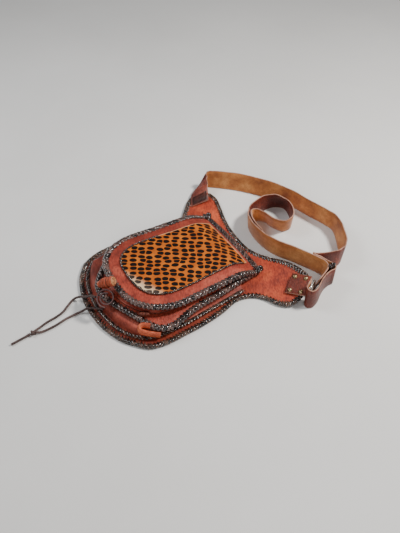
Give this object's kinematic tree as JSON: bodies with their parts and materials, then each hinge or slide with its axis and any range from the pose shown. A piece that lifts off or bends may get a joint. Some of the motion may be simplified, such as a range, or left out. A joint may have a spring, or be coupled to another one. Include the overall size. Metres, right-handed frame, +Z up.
{
  "type": "leather hip bag",
  "caption": "Leather belt bag lying on its back, with laced edges, two flaps over two pouches, a spotted hide panel, a rolled toggle and a belt strap standing on edge.",
  "frame": {"origin": "under the middle of the bag and its straps, on the surface it lies on; the thong is left out", "axes": "+X from the strap's sewn end on the left wing to the riveted end on the right wing, +Y from the flap's tip towards the belt, +Z up from the surface"},
  "size_m": [0.3602, 0.6003, 0.0656],
  "materials": {
    "red_leather": "polished vegetable-tanned leather, red-brown, worn",
    "dark_lace": "glossy near-black leather lace",
    "spotted_hide": "short-haired hide printed with dark spots",
    "rolled_leather": "rolled orange-red leather",
    "loop_leather": "dark leather with a light cut edge",
    "strap_leather": "tan suede inside, dark red-brown outside, light cut edges",
    "old_brass": "antique brass",
    "bright_metal": "bright wire",
    "thong_leather": "matt purple-brown lace"
  },
  "bodies": {
    "root": {"back_panel": "red_leather", "back_edge_lacing": "dark_lace", "lower_pouch": "red_leather", "pouch_seam_lacing": "dark_lace", "lower_flap": "red_leather", "lower_flap_lacing": "dark_lace", "upper_pocket": "red_leather", "main_flap": "red_leather", "main_flap_lacing": "dark_lace", "flap_hinge_lacing": "dark_lace", "print_panel": "spotted_hide", "toggle_upper": "rolled_leather", "toggle_lower": "rolled_leather", "pull_loop": "loop_leather", "red_loop": "rolled_leather", "belt_strap": "strap_leather", "adjusting_strap": "strap_leather", "strap_tab": "strap_leather", "rivet_1": "old_brass", "rivet_2": "old_brass", "rivet_3": "old_brass", "rivet_4": "old_brass", "metal_ring": "bright_metal", "keeper": "dark_lace", "thong_upper": "thong_leather", "thong_lower": "thong_leather", "thong_tail": "thong_leather", "thong_knot": "thong_leather"}
  },
  "joints": []
}
